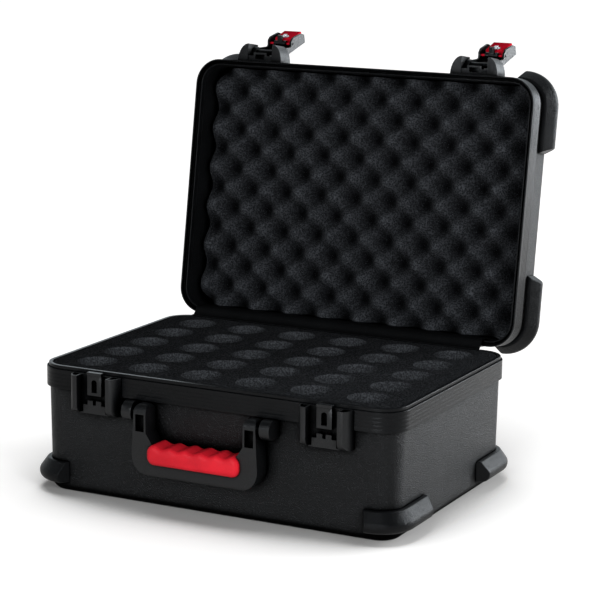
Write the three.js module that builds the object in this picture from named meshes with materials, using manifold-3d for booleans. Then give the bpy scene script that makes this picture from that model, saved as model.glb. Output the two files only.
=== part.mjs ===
// A moulded case for thirty handheld microphones, stood open with its latches thrown back.
// Millimetres. +X runs along the front, +Y to the back, +Z up. The origin is the middle of the underside.
// The base is drawn where it stands. The lid is drawn shut, in a group that is turned about the hinge.

import * as THREE from "three";
import { mergeGeometries, mergeVertices } from "three/addons/utils/BufferGeometryUtils.js";
import Module from "manifold-3d";

const wasm = await Module();
wasm.setup();

// Fits and roundness

const seatGap = 0.3; // between two pieces that touch
const runGap = 0.3; // round a pin in its hole
const overrun = 2; // how far a cut runs past what it cuts
const weld = 0.0001; // points closer than this are one point
const soft = 0.8; // small edge rounding on mouldings
const cornerSteps = 5; // faces in a quarter turn of a body corner
const edgeSteps = 3; // faces in the rounding between a wall and a floor
const pinSides = 12;
const bossSides = 32;
const quarter = Math.PI / 2;

// Moulded shells, base and lid, measured outside at the rim

const shellLength = 486;
const shellWidth = 340;
const shellCorner = 30.3;
const wall = 3.6;
const baseShell = { height: 150, draft: 2.5, edge: 12 };
const lidShell = { height: 68.7, draft: 1.5, edge: 16 };

// Valances: the frames that cap the shells' edges, with a tongue on the base and a rebate in the lid

const skirtThickness = 3.4;
const baseSkirtLap = 16.4; // how far the skirt hangs over the shell
const baseBandHead = 8.3; // from the shell's edge up to the closing ledge
const lidSkirtLap = 13.3;
const lidBandHead = 12.7;
const tongueHeight = 4.2;
const tongueThickness = 4.9;
const lidRimWall = 1.8; // the lid's thin outer wall, which closes round the tongue
const bandGroove = 0.7; // depth of the decorative lines round each band
const bandGroovePitch = 4.6;
const bandGrooveWidth = 1.6;
const bandGrooveSide = 0.4; // slant of each side of a line

const skirtOut = seatGap + skirtThickness;
const bandHalfY = shellWidth / 2 + skirtOut;
const baseRim = baseShell.height + baseBandHead;
const lidMouth = baseRim + seatGap;
const lidTop = lidMouth + lidBandHead + lidShell.height;

// Corner bumpers

const bumperReach = 16;
const bumperLow = 14; // heights over the floor of the shell that carries it
const bumperHigh = 40;
const bumperFrontArm = 41; // from the side wall's plane to the end of the arm along the front
const bumperSideArm = 91;
const bumperEndShare = 0.55; // slant of each arm's end, along the arm for each unit of reach
const bumperSectionShares = [
  [0, 0],
  [0.62, 0.03],
  [0.9, 0.12],
  [1, 0.27],
  [1, 0.5],
  [0.93, 0.62],
  [0.34, 1],
  [0, 1],
];

// Foam

const boreRadius = 25;
const borePitchX = 75;
const borePitchY = 63;
const boreColumns = 6;
const boreRows = 5;
const boreSides = 16;
const foamGap = 0.5;
const foamBelowTongue = 0.4;
const padThickness = 12;
const lidFoamValley = 19; // thickness of the lid's foam at its hollows
const lidFoamPeak = 44;
const lidFoamPitchX = 52.5;
const lidFoamPitchY = 54;
const lidFoamShift = 7.3; // how far a crest lies right of the middle
const lidFoamGap = 0.8;
const lidFoamSteps = 4; // points in one wave
const lidFoamSlack = 0.25; // share of a step under which a point is left out beside the edge

// Piano hinge on the back

const hingeBehind = 5; // the axis stands this far behind the bands
const hingeAboveRim = 1.7;
const hingeHalf = 200;
const hingeKnuckles = 9;
const knuckleRadius = 3.5;
const knuckleGap = 0.6;
const hingePinRadius = 1.5;
const leafThickness = 1.5;
const leafStart = 3.2; // from the axis to each leaf's near edge
const leafHeight = 21;
const lidOpenAngle = 98.8;

const hingeY = bandHalfY + hingeBehind;
const hingeZ = baseRim + hingeAboveRim;

// Flexible strip that bridges the hinge gap inside

const flapLeft = -218;
const flapRight = 205;
const flapThickness = 1.2;
const flapClear = 1;
const flapDepth = 24; // how far it runs down into the lid
const flapBend = 6; // depth at which it lies flat on the lid's wall
const flapOnFoam = 3;

// Latches: a keeper on the base and a lever in a housing on the lid, at both sides

const latchInset = 86; // from each end of the shell to the middle of a latch
const keeperHalf = 34;
const keeperReach = 16.4;
const keeperDrop = 40; // how far the keeper hangs under the shell's edge
const keeperRise = 8; // and how far it stands over it
const recessHalf = 20.5;
const cheekFlat = 4;
const cheekRound = 11; // lower front corner of each cheek, seen from the side
const cheekSkin = 2; // walls round the hollow in each cheek's top
const cheekHollow = 8;
const backPlate = 2.6; // front face of the keeper's back plate, from the band
const lipLow = 5.9;
const lipHigh = 8.4;
const lipHalf = 16;
const lipHeight = 11;
const keeperFloor = 1.5;
const tabInner = 2.25;
const tabWidth = 7.5;
const tabHeight = 5.5;

const postHalf = 10;
const postDrop = 16.8; // levels of the post and its slot, under and over the shell's edge
const postRise = 12;
const postSlotDrop = 13;
const postSlotRise = 3;
const postIn = 4.9;
const postOut = 8.7;
const postWeb = 3;
const postHead = 3.6;
const postSlotHalf = 3.75;
const latchX = shellLength / 2 - latchInset;
const keeperLow = baseShell.height - keeperDrop;
const keeperHigh = baseShell.height + keeperRise;
const postLow = baseShell.height - postDrop;
const postTop = baseShell.height + postRise;
const postSlotLow = baseShell.height - postSlotDrop;
const postSlotHigh = baseShell.height + postSlotRise;

const housingHalf = 33;
const housingInner = 18.2;
const housingReach = 24;
const housingLow = 8; // heights over the hinge axis, lid shut
const housingHigh = 35.6;
const housingPlate = 1.5;
const blockHalf = 10;
const blockReach = 12.4;
const blockWeb = 8; // how far the webs from the block to the cheeks stand out
const blockLow = 9;
const blockHigh = 18;
const windowHalf = 7;
const windowIn = 3.5;
const windowOut = 10;
const roundSteps = 8; // faces in a quarter turn of a cheek or a slot

const pivotOut = 14; // the lever's pivot, out from the band and up from the hinge axis
const pivotUp = 28;
const leverPinRadius = 2;
const leverPinHalf = 27;
const leverLength = 76.5;
const leverHalf = 17.5;
const leverFlare = 2; // how much wider each side is at the tip
const leverInner = 9; // inner face of the cover, out from the pivot
const leverOuter = 12;
const flangeThickness = 2.5;
const flangeProfile = [ // inner edge of each side: along the lever from the pivot, and in from it
  [12, 2],
  [34, -4.5],
  [37.5, -3.5],
  [39.5, 2.5],
  [46, 5.5],
  [70, 3.2],
  [76.5, -0.5],
];
const leverBarrel = 3.6;
const leverKnuckle = 7; // discs at the ends of the lever's barrel
const leverKnuckleWidth = 4.5;
const leverOpenAngle = 155.7;

const lockLow = 52; // along the lever from its pivot
const lockHigh = 80.5;
const lockHalf = 13;
const lockIn = 2.6;
const lockBevel = 1.5;
const barrelAt = 58;
const barrelRadius = 5;
const barrelProud = 0.8;
const neckRadius = 2.5;
const camIn = 5.2; // levels of the cam's faces, in from the pivot
const camOut = 3.4;
const camRadius = 10;
const camHalf = 2.5;
const keySlotLength = 6;
const keySlotWidth = 1.6;
const keySlotDepth = 2;

const clawAt = 42; // its pin, along the lever and out from it
const clawPinOut = 2;
const clawBoss = 4;
const clawBossHalf = 9;
const clawHalf = 3.2;
const clawNoseLow = 1; // the nose reaches from here past the pin to its upper side
const clawNoseHigh = 3.5;
const clawReach = 11.5;
const clawPinRadius = 1.5;
const clawRestAngle = 12;

// Carrying handle: a drop frame with a ribbed grip, hung on two brackets

const handleX = -8;
const handlePivotOut = 12.8; // from the band's face
const handleHang = 26.5; // its pivot and the brackets' feet, under the shell's edge
const bracketDrop = 38;
const keeperClear = 37; // between a keeper and the handle's foot, if the handle hung in the middle
const armFootOut = 3; // how far the foot stands outside the arms
const armWidth = 16.6;
const armRadius = 12;
const armDome = 7; // rounding of each arm's top, seen from the front
const barRound = 4;
const barRoundSteps = 4;
const bendSteps = 9; // faces in a quarter turn of the handle's bends and arm tops
const handleDrop = 76;
const handleCorner = 25;
const elbowHigh = 22.5;
const elbowLow = 41.5;
const elbowWidth = 32;
const handleSag = 0.2; // the frame's middle lies this far outside its pivot, so it hangs shut
const gripShoulderWidth = 23; // from the foot's end to the grip's
const gripLow = 60.5; // depths under the pivot
const gripHigh = 37.5;
const gripFront = 18.5; // from its middle to its faces, and the rounding of each face's edge
const gripFrontRound = 6;
const gripBack = 15.4;
const gripBackRound = 3;
const gripLap = 8; // how far each half runs past the middle
const gripWave = 1.4;
const gripWaves = 5;
const gripPeak = 2.4; // the highest point of the waves
const gripCorner = 10;
const gripCornerSteps = 6;
const gripWaveSteps = 8;
const gripShoulder = 8; // power with which the grip's upper edge rises towards its ends
const coreEnd = 17; // from the grip's end to the core's
const coreHigh = 49;
const coreDepth = 5;
const pocketHalf = 5.9;
const pocketHigh = 0.5;
const pocketLow = 21.7;
const pocketDepth = 8;
const bossGap = 4.5;
const bossWidth = 13.5;
const bossRadius = 12.3;
const bracketPinDepth = 11;
const armPinDepth = 13;
const handlePinRadius = 3;
const armFoot = latchX - keeperHalf - keeperClear;
const armOuter = armFoot - armFootOut;
const armInner = armOuter - armWidth;
const elbowInner = armFoot - elbowWidth;
const gripHalf = armFoot - gripShoulderWidth;
const coreHalf = gripHalf - coreEnd;
const handlePivotZ = baseShell.height - handleHang;
const bracketLow = baseShell.height - bracketDrop;

// Materials

function finish(red, green, blue, roughness, metalness) {
  const colour = new THREE.Color().setRGB(red, green, blue, THREE.SRGBColorSpace);
  return new THREE.MeshStandardMaterial({ color: colour, roughness, metalness });
}

const textured = finish(0.11, 0.115, 0.12, 0.62, 0);
const smoothBlack = finish(0.1, 0.105, 0.11, 0.38, 0);
const cutFoam = finish(0.08, 0.082, 0.085, 0.98, 0);
const waveFoam = finish(0.14, 0.142, 0.15, 0.98, 0);
const nylon = finish(0.13, 0.135, 0.14, 0.45, 0);
const redRubber = finish(0.86, 0.1, 0.16, 0.5, 0);
const redPlastic = finish(0.8, 0.06, 0.1, 0.35, 0);
const steel = finish(0.62, 0.63, 0.64, 0.32, 1);
const strap = finish(0.07, 0.072, 0.075, 0.7, 0);

// Solids

function solidOf(geometry) {
  const bare = geometry.clone();
  bare.deleteAttribute("normal");
  bare.deleteAttribute("uv");
  const welded = mergeVertices(bare, weld);
  return new wasm.Manifold(new wasm.Mesh({
    numProp: 3,
    vertProperties: new Float32Array(welded.attributes.position.array),
    triVerts: new Uint32Array(welded.index.array),
  }));
}

function geometryOf(solid) {
  const mesh = solid.getMesh();
  const geometry = new THREE.BufferGeometry();
  geometry.setAttribute("position", new THREE.Float32BufferAttribute(mesh.vertProperties, 3));
  geometry.setIndex(Array.from(mesh.triVerts));
  geometry.computeVertexNormals();
  return geometry;
}

function joined(first, ...others) {
  return others.reduce((whole, piece) => whole.add(piece), first);
}

function cut(first, ...others) {
  return others.reduce((whole, piece) => whole.subtract(piece), first);
}

// The range between two places given in either order.
function between(first, second) {
  return [Math.min(first, second), Math.max(first, second)];
}

function block([lowX, highX], [lowY, highY], [lowZ, highZ]) {
  const box = new THREE.BoxGeometry(highX - lowX, highY - lowY, highZ - lowZ);
  box.translate((lowX + highX) / 2, (lowY + highY) / 2, (lowZ + highZ) / 2);
  return solidOf(box);
}

function axes(right, up, out) {
  const unit = { x: [1, 0, 0], y: [0, 1, 0], "-y": [0, -1, 0], z: [0, 0, 1] };
  const [a, b, c] = [right, up, out].map((name) => new THREE.Vector3(...unit[name]));
  return new THREE.Matrix4().makeBasis(a, b, c);
}

// An outline pushed straight through from one level to another, with rounded edges if wanted.
function pushed(points, from, to, placing, rounding = 0, holes = []) {
  const shape = new THREE.Shape(points);
  shape.holes = holes.map((hole) => new THREE.Path(hole));
  const geometry = new THREE.ExtrudeGeometry(shape, {
    depth: to - from - 2 * rounding,
    steps: 1,
    bevelEnabled: rounding > 0,
    bevelSize: rounding,
    bevelThickness: rounding,
    bevelOffset: -rounding,
    bevelSegments: edgeSteps,
  });
  geometry.translate(0, 0, from + rounding);
  geometry.applyMatrix4(placing);
  return geometry;
}

// Outlines drawn seen from the side (y, z), from above (x, y) and from the front (x, z).
function alongX(points, from, to) {
  return solidOf(pushed(points, from, to, axes("y", "z", "x")));
}

function alongZ(points, from, to) {
  return solidOf(pushed(points, from, to, axes("x", "y", "z")));
}

function alongY(points, from, to, rounding, holes) {
  return solidOf(pushed(points, -to, -from, axes("x", "z", "-y"), rounding, holes));
}

function rod(radius, [from, to], [first, second], axis, sides) {
  const cylinder = new THREE.CylinderGeometry(radius, radius, to - from, sides);
  const middle = (from + to) / 2;
  if (axis === "x") {
    cylinder.rotateZ(quarter);
    cylinder.translate(middle, first, second);
  } else if (axis === "y") {
    cylinder.translate(first, middle, second);
  } else {
    cylinder.rotateX(quarter);
    cylinder.translate(first, second, middle);
  }
  return cylinder;
}

function arc(centreX, centreY, radiusX, radiusY, start, turn, steps) {
  const points = [];
  for (let step = 0; step <= steps; step += 1) {
    const angle = start + (turn * step) / steps;
    points.push(new THREE.Vector2(
      centreX + radiusX * Math.cos(angle),
      centreY + radiusY * Math.sin(angle),
    ));
  }
  return points;
}

function points2(pairs) {
  return pairs.map(([first, second]) => new THREE.Vector2(first, second));
}

function volumeOf(positions, index) {
  const corner = (at) => new THREE.Vector3().fromArray(positions, 3 * index[at]);
  let volume = 0;
  for (let at = 0; at < index.length; at += 3) {
    volume += corner(at).dot(corner(at + 1).cross(corner(at + 2)));
  }
  return volume;
}

// A skin over a row of loops with equal point counts, its ends closed by fans or joined to each other.
function skin(loops, capped) {
  const count = loops[0].length;
  const positions = loops.flat().flatMap((point) => point.toArray());
  const index = [];
  const rows = capped ? loops.length - 1 : loops.length;
  for (let row = 0; row < rows; row += 1) {
    const next = (row + 1) % loops.length;
    for (let column = 0; column < count; column += 1) {
      const beside = (column + 1) % count;
      const here = row * count + column;
      const across = next * count + beside;
      index.push(here, row * count + beside, across, here, across, next * count + column);
    }
  }
  if (capped) {
    const top = (loops.length - 1) * count;
    for (let column = 1; column < count - 1; column += 1) {
      index.push(0, column + 1, column, top, top + column, top + column + 1);
    }
  }
  const geometry = new THREE.BufferGeometry();
  geometry.setAttribute("position", new THREE.Float32BufferAttribute(positions, 3));
  geometry.setIndex(volumeOf(positions, index) < 0 ? index.reverse() : index);
  return solidOf(geometry);
}

// Moulded shells

// The outline of a body at a level, drawn in from the rim's outer line. Levels start at the shell's floor.
function bodyRing(shell, level, inset) {
  const drawn = shell.draft * (1 - level / shell.height) + inset;
  const halfX = shellLength / 2 - drawn;
  const halfY = shellWidth / 2 - drawn;
  const radius = shellCorner - drawn;
  const ring = [];
  [[1, 1], [-1, 1], [-1, -1], [1, -1]].forEach(([signX, signY], turn) => {
    const corner = arc(
      signX * (halfX - radius), signY * (halfY - radius), radius, radius,
      turn * quarter, quarter, cornerSteps,
    );
    ring.push(...corner.map((point) => new THREE.Vector3(point.x, point.y, level)));
  });
  return ring;
}

function bodySolid(shell, inset, above) {
  const edge = shell.edge - inset;
  const rings = [];
  for (let step = 0; step <= edgeSteps; step += 1) {
    const angle = (quarter * step) / edgeSteps;
    rings.push(bodyRing(shell, inset + edge * (1 - Math.cos(angle)), inset + edge * (1 - Math.sin(angle))));
  }
  rings.push(bodyRing(shell, shell.height + above, inset));
  return skin(rings, true);
}

function shellSolid(shell) {
  return cut(bodySolid(shell, 0, 0), bodySolid(shell, wall, overrun));
}

// Valances, as a section in offsets from the shell's rim line and levels over the shell's edge

function bandLines(lap) {
  const lines = [];
  for (let line = 0; line < 2; line += 1) {
    const low = -lap + bandGroovePitch * (line + 1);
    lines.push(
      [skirtOut, low],
      [skirtOut - bandGroove, low + bandGrooveSide],
      [skirtOut - bandGroove, low + bandGrooveWidth - bandGrooveSide],
      [skirtOut, low + bandGrooveWidth],
    );
  }
  return lines;
}

function valanceSolid(shell, lap, head, mouth) {
  const section = [
    [seatGap, -lap],
    [skirtOut - soft, -lap],
    [skirtOut, soft - lap],
    ...bandLines(lap),
    [skirtOut, head - soft],
    ...mouth,
    [-wall, seatGap],
    [seatGap, seatGap],
  ];
  const straight = { height: shell.height, draft: 0 };
  return skin(section.map(([offset, level]) => bodyRing(straight, shell.height + level, -offset)), false);
}

const tongueOut = tongueThickness - wall;
const tongueTop = baseBandHead + tongueHeight;
const tongueMouth = [
  [skirtOut - soft, baseBandHead],
  [tongueOut, baseBandHead],
  [tongueOut, tongueTop - soft],
  [tongueOut - soft, tongueTop],
  [soft - wall, tongueTop],
  [-wall, tongueTop - soft],
];
const rebateFloor = lidBandHead - tongueHeight;
const rebateMouth = [
  [skirtOut - soft / 2, lidBandHead],
  [skirtOut - lidRimWall, lidBandHead],
  [skirtOut - lidRimWall, rebateFloor],
  [soft - wall, rebateFloor],
  [-wall, rebateFloor - soft],
];

// Corner bumpers

function bumperSolid(shell, signX, signY) {
  const drawn = shell.draft * (1 - bumperHigh / shell.height) - seatGap;
  const halfX = shellLength / 2 - drawn;
  const halfY = shellWidth / 2 - drawn;
  const radius = shellCorner - drawn;
  const frontEnd = shellLength / 2 - bumperFrontArm;
  const sideEnd = shellWidth / 2 - bumperSideArm;
  const stations = [{ x: frontEnd, y: halfY, nx: 0, ny: 1, lean: 1 }];
  for (let step = cornerSteps; step >= 0; step -= 1) {
    const angle = (quarter * step) / cornerSteps;
    const [nx, ny] = [Math.cos(angle), Math.sin(angle)];
    stations.push({ x: halfX - radius + radius * nx, y: halfY - radius + radius * ny, nx, ny, lean: 0 });
  }
  stations.push({ x: halfX, y: sideEnd, nx: 1, ny: 0, lean: 1 });
  const section = bumperSectionShares.map(([out, up]) => new THREE.Vector2(
    out * bumperReach,
    bumperLow + up * (bumperHigh - bumperLow),
  ));
  const loops = stations.map(({ x, y, nx, ny, lean }) => section.map((point) => new THREE.Vector3(
    signX * (x + nx * point.x + ny * lean * bumperEndShare * point.x),
    signY * (y + ny * point.x + nx * lean * bumperEndShare * point.x),
    point.y,
  )));
  return skin(loops, true);
}

// Foam

const padLow = wall + seatGap;
const foamLow = padLow + padThickness + seatGap;
const foamTop = baseShell.height + tongueTop - foamBelowTongue;

function padSolid() {
  const inset = baseShell.edge + foamGap;
  return skin([padLow, padLow + padThickness].map((level) => bodyRing(baseShell, level, inset)), true);
}

function boreCutters() {
  const cutters = [];
  for (let column = 0; column < boreColumns; column += 1) {
    for (let row = 0; row < boreRows; row += 1) {
      const x = (column - (boreColumns - 1) / 2) * borePitchX;
      const y = (row - (boreRows - 1) / 2) * borePitchY;
      cutters.push(rod(boreRadius, [foamLow - overrun, foamTop + overrun], [x, y], "z", boreSides));
    }
  }
  return solidOf(mergeGeometries(cutters));
}

function trayFoamSolid() {
  const tray = skin([foamLow, foamTop].map((level) => bodyRing(baseShell, level, wall + foamGap)), true);
  return cut(tray, boreCutters());
}

// Waves that peak in staggered rows, cut off straight at the border. The level is over the lid's own floor.
function waveHeight(x, y) {
  const across = Math.cos((2 * Math.PI * (x - lidFoamShift)) / lidFoamPitchX);
  const wave = across * Math.cos((2 * Math.PI * y) / lidFoamPitchY);
  return padLow + lidFoamValley + (lidFoamPeak - lidFoamValley) * (1 + wave) / 2;
}

function spread(half, pitch, shift) {
  const step = pitch / lidFoamSteps;
  const whole = Math.ceil(half / step);
  const places = [-half];
  for (let count = -whole; count <= whole; count += 1) {
    const place = shift + count * step;
    if (half - Math.abs(place) > step * lidFoamSlack) {
      places.push(place);
    }
  }
  places.push(half);
  return places;
}

function waveFoamSolid() {
  const inset = lidShell.draft + wall + lidFoamGap;
  const halfX = shellLength / 2 - inset;
  const halfY = shellWidth / 2 - inset;
  const rows = spread(halfY, lidFoamPitchY, 0);
  const slices = spread(halfX, lidFoamPitchX, lidFoamShift).map((x) => {
    const crest = rows.map((y) => new THREE.Vector3(x, y, waveHeight(x, y)));
    return [new THREE.Vector3(x, -halfY, padLow), ...crest, new THREE.Vector3(x, halfY, padLow)];
  });
  const rough = skin(slices, true);
  const edge = lidShell.edge - wall;
  const envelope = [
    bodyRing(lidShell, padLow, wall + lidFoamGap + edge),
    bodyRing(lidShell, wall + edge, wall + lidFoamGap),
    bodyRing(lidShell, padLow + lidFoamPeak + overrun, wall + lidFoamGap),
  ];
  return rough.intersect(skin(envelope, true));
}

// Hinge, drawn shut. side is -1 for the leaf on the base and 1 for the leaf on the lid.

function leafSolid(side) {
  const near = hingeZ + side * leafStart;
  const far = near + side * leafHeight;
  const front = bandHalfY + seatGap;
  let leaf = block([-hingeHalf, hingeHalf], [front, front + leafThickness], between(near, far));
  const length = (2 * hingeHalf) / hingeKnuckles;
  for (let knuckle = side < 0 ? 0 : 1; knuckle < hingeKnuckles; knuckle += 2) {
    const from = -hingeHalf + knuckle * length + knuckleGap / 2;
    const span = [from, from + length - knuckleGap];
    const inner = hingeZ + side * (hingePinRadius + runGap);
    const outer = near + side * leafThickness;
    const web = block(span, [front, hingeY], between(inner, outer));
    leaf = joined(leaf, web, solidOf(rod(knuckleRadius, span, [hingeY, hingeZ], "x", pinSides)));
  }
  const through = [-hingeHalf - overrun, hingeHalf + overrun];
  return cut(leaf, solidOf(rod(hingePinRadius + runGap, through, [hingeY, hingeZ], "x", pinSides)));
}

// Places in the lid as it stands open, for the strip: distance out from the hinge and depth into the lid.
function onOpenLid(out, depth) {
  const angle = THREE.MathUtils.degToRad(lidOpenAngle);
  return new THREE.Vector2(
    hingeY - out * Math.cos(angle) + depth * Math.sin(angle),
    hingeZ + out * Math.sin(angle) + depth * Math.cos(angle),
  );
}

function flapSolid() {
  const tongueBack = shellWidth / 2 + tongueOut;
  const tongueLevel = baseShell.height + tongueTop;
  const inLid = hingeBehind + skirtOut + wall + flapClear;
  const line = [
    new THREE.Vector2(shellWidth / 2 - wall - flapOnFoam, tongueLevel + seatGap + flapThickness / 2),
    new THREE.Vector2(tongueBack, tongueLevel + seatGap + flapThickness / 2),
    onOpenLid(inLid, -flapClear - hingeAboveRim),
    onOpenLid(inLid + flapThickness, flapBend),
    onOpenLid(inLid + flapThickness, flapDepth),
  ];
  const sides = [1, -1].map((side) => line.map((point, at) => {
    const before = line[Math.max(at - 1, 0)];
    const after = line[Math.min(at + 1, line.length - 1)];
    const along = after.clone().sub(before).normalize();
    return new THREE.Vector2(-along.y, along.x).multiplyScalar((side * flapThickness) / 2).add(point);
  }));
  return alongX([...sides[0], ...sides[1].reverse()], flapLeft, flapRight);
}

// Keeper, in a frame on the band's front face: x across, -y outwards, z over the floor

function cheekOutline(side, inner, outer, flat, back, reach) {
  const curve = arc(inner + flat, -back, outer - inner - flat, reach - back, -quarter, quarter, roundSteps);
  const outline = [new THREE.Vector2(inner, -back), new THREE.Vector2(inner, -reach), ...curve];
  return outline.map((point) => new THREE.Vector2(side * point.x, point.y));
}

const shellStep = skirtOut - seatGap; // from the band's face back to a pad that seats on the shell

function cheekSolid(side) {
  const whole = cheekOutline(side, recessHalf, keeperHalf, cheekFlat, seatGap, keeperReach);
  const room = cheekOutline(
    side, recessHalf + cheekSkin, keeperHalf - cheekSkin,
    cheekFlat - cheekSkin, backPlate, keeperReach - cheekSkin,
  );
  const above = keeperHigh + overrun;
  const fromSide = [
    ...arc(
      cheekRound - keeperReach, keeperLow + cheekRound, cheekRound, cheekRound,
      -quarter, -quarter, roundSteps,
    ),
    ...points2([[-keeperReach, above], [overrun, above], [overrun, keeperLow]]),
  ];
  const across = between(side * (recessHalf - overrun), side * (keeperHalf + overrun));
  const body = alongZ(whole, keeperLow, keeperHigh).intersect(alongX(fromSide, ...across));
  return cut(body, alongZ(room, keeperHigh - cheekHollow, above));
}

function keeperSolid() {
  const underBand = baseShell.height - baseSkirtLap - seatGap;
  const pieces = [-1, 1].map(cheekSolid);
  const width = [-keeperHalf, keeperHalf];
  pieces.push(block(width, [-backPlate, -seatGap], [keeperLow, keeperHigh]));
  pieces.push(block(width, [-backPlate, shellStep], [keeperLow, underBand]));
  pieces.push(block([-recessHalf, recessHalf], [-lipHigh, -seatGap], [keeperLow, keeperLow + keeperFloor]));
  pieces.push(block([-lipHalf, lipHalf], [-lipHigh, -lipLow], [keeperLow, keeperLow + lipHeight]));
  for (const side of [-1, 1]) {
    const across = between(side * tabInner, side * (tabInner + tabWidth));
    pieces.push(block(across, [-lipHigh, -lipLow], [keeperLow, keeperLow + lipHeight + tabHeight]));
  }
  return joined(...pieces);
}

function postSolid() {
  const plate = points2([
    [-postHalf, postLow],
    [postHalf, postLow],
    [postHalf, postTop],
    [-postHalf, postTop],
  ]);
  const archCentre = postSlotHigh - postSlotHalf;
  const arch = arc(0, archCentre, postSlotHalf, postSlotHalf, 0, 2 * quarter, 2 * roundSteps);
  const slot = [...arch, ...points2([[-postSlotHalf, postSlotLow], [postSlotHalf, postSlotLow]])];
  const back = backPlate + seatGap;
  const face = alongY(plate, -postOut, -postIn, 0, [slot]);
  const webs = [-1, 1].map((side) => {
    const across = between(side * (postHalf - postWeb), side * postHalf);
    return block(across, [-postOut, -back], [postLow, keeperHigh]);
  });
  const head = block([-postHalf, postHalf], [-postOut - soft, -back], [postTop - postHead, postTop]);
  return joined(face, ...webs, head);
}

// Latch housing and lever, in a frame on the lid's front face at the height of the hinge axis

function housingSolid() {
  const overShell = lidMouth + lidBandHead + lidSkirtLap - hingeZ + seatGap;
  const pieces = [-1, 1].map((side) => alongZ(
    cheekOutline(side, housingInner, housingHalf, 0, seatGap, housingReach),
    housingLow,
    housingHigh,
  ));
  const width = [-housingHalf, housingHalf];
  pieces.push(block(width, [-housingPlate, -seatGap], [housingLow, housingHigh]));
  pieces.push(block(width, [-housingPlate, shellStep], [overShell, housingHigh]));
  pieces.push(block([-blockHalf, blockHalf], [-blockReach, -seatGap], [blockLow, blockHigh]));
  pieces.push(block([-housingInner - soft, housingInner + soft], [-blockWeb, -seatGap], [blockLow, blockHigh]));
  const pivot = [-pivotOut, pivotUp];
  const bore = rod(leverPinRadius + runGap, [-leverPinHalf, leverPinHalf], pivot, "x", pinSides);
  const through = [blockLow - overrun, blockHigh + overrun];
  const opening = block([-windowHalf, windowHalf], [-windowOut, -windowIn], through);
  return cut(joined(...pieces), solidOf(bore), opening);
}

// In the lever's frame the lever hangs shut: it runs along -z from its pivot and faces -y.
function leverOutline(pairs) {
  return points2(pairs.map(([along, out]) => [-out, -along]));
}

function flared(geometry) {
  const place = geometry.attributes.position;
  for (let at = 0; at < place.count; at += 1) {
    const along = Math.max(-place.getZ(at), 0) / leverLength;
    place.setX(at, place.getX(at) * (1 + (leverFlare / leverHalf) * along));
  }
  geometry.computeVertexNormals();
  return geometry;
}

function leverSolid() {
  const lug = arc(0, 0, leverInner, leverKnuckle, quarter, 2 * quarter, 2 * roundSteps);
  const flange = leverOutline([
    [0, leverInner + soft],
    ...lug.map((point) => [point.x, point.y]),
    ...flangeProfile.map(([along, inwards]) => [along, -inwards]),
    [leverLength, leverInner + soft],
  ]);
  const pieces = [-1, 1].flatMap((side) => {
    const across = between(side * (leverHalf - flangeThickness), side * leverHalf);
    const disc = between(side * (leverHalf - leverKnuckleWidth), side * leverHalf);
    return [alongX(flange, ...across), solidOf(rod(leverKnuckle, disc, [0, 0], "x", bossSides))];
  });
  pieces.push(block([-leverHalf, leverHalf], [-leverOuter, -leverInner], [-leverLength, 0]));
  pieces.push(solidOf(rod(leverBarrel, [-leverHalf, leverHalf], [0, 0], "x", bossSides)));
  const through = [-leverHalf - overrun, leverHalf + overrun];
  const outward = [-leverOuter - overrun, -leverInner + overrun];
  return cut(
    joined(...pieces),
    solidOf(rod(leverPinRadius + runGap, through, [0, 0], "x", pinSides)),
    solidOf(rod(clawPinRadius + runGap, through, [-clawPinOut, -clawAt], "x", pinSides)),
    solidOf(rod(barrelRadius + runGap, outward, [0, -barrelAt], "y", bossSides)),
  );
}

function lockSolid() {
  const outline = points2([
    [-lockHalf, -lockHigh],
    [lockHalf, -lockHigh],
    [lockHalf, -lockLow],
    [-lockHalf, -lockLow],
  ]);
  const depth = [seatGap - leverInner, lockIn];
  const body = alongY(outline, ...depth, lockBevel, []);
  const through = [depth[0] - overrun, depth[1] + overrun];
  return cut(body, solidOf(rod(barrelRadius + runGap, through, [0, -barrelAt], "y", bossSides)));
}

function barrelSolid() {
  const crown = -leverOuter - barrelProud;
  const barrel = solidOf(rod(barrelRadius, [crown, lockIn], [0, -barrelAt], "y", bossSides));
  const neck = solidOf(rod(neckRadius, [lockIn - soft, camIn], [0, -barrelAt], "y", pinSides));
  const middle = -barrelAt;
  const cam = block([-camHalf, camHalf], [camOut, camIn], [middle - camHalf, middle + camRadius]);
  const keySlot = block(
    [-keySlotWidth / 2, keySlotWidth / 2],
    [crown - overrun, crown + keySlotDepth],
    [middle - keySlotLength / 2, middle + keySlotLength / 2],
  );
  return cut(joined(barrel, neck, cam), keySlot);
}

// The claw's own frame sits on its pin.
function clawSolid() {
  const nose = leverOutline([
    [-clawNoseHigh, 0],
    [-clawNoseHigh, soft - clawReach],
    [soft - clawNoseHigh, -clawReach],
    [clawNoseLow - soft, -clawReach],
    [clawNoseLow, soft - clawReach],
    [clawNoseLow, 0],
  ]);
  const boss = solidOf(rod(clawBoss, [-clawBossHalf, clawBossHalf], [0, 0], "x", bossSides));
  const through = [-clawBossHalf - overrun, clawBossHalf + overrun];
  const bore = rod(clawPinRadius + runGap, through, [0, 0], "x", pinSides);
  return cut(joined(boss, alongX(nose, -clawHalf, clawHalf)), solidOf(bore));
}

function pinSolid(radius, half) {
  return solidOf(rod(radius, [-half, half], [0, 0], "x", pinSides));
}

// Handle, in a frame on its pivot line, hanging down

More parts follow.
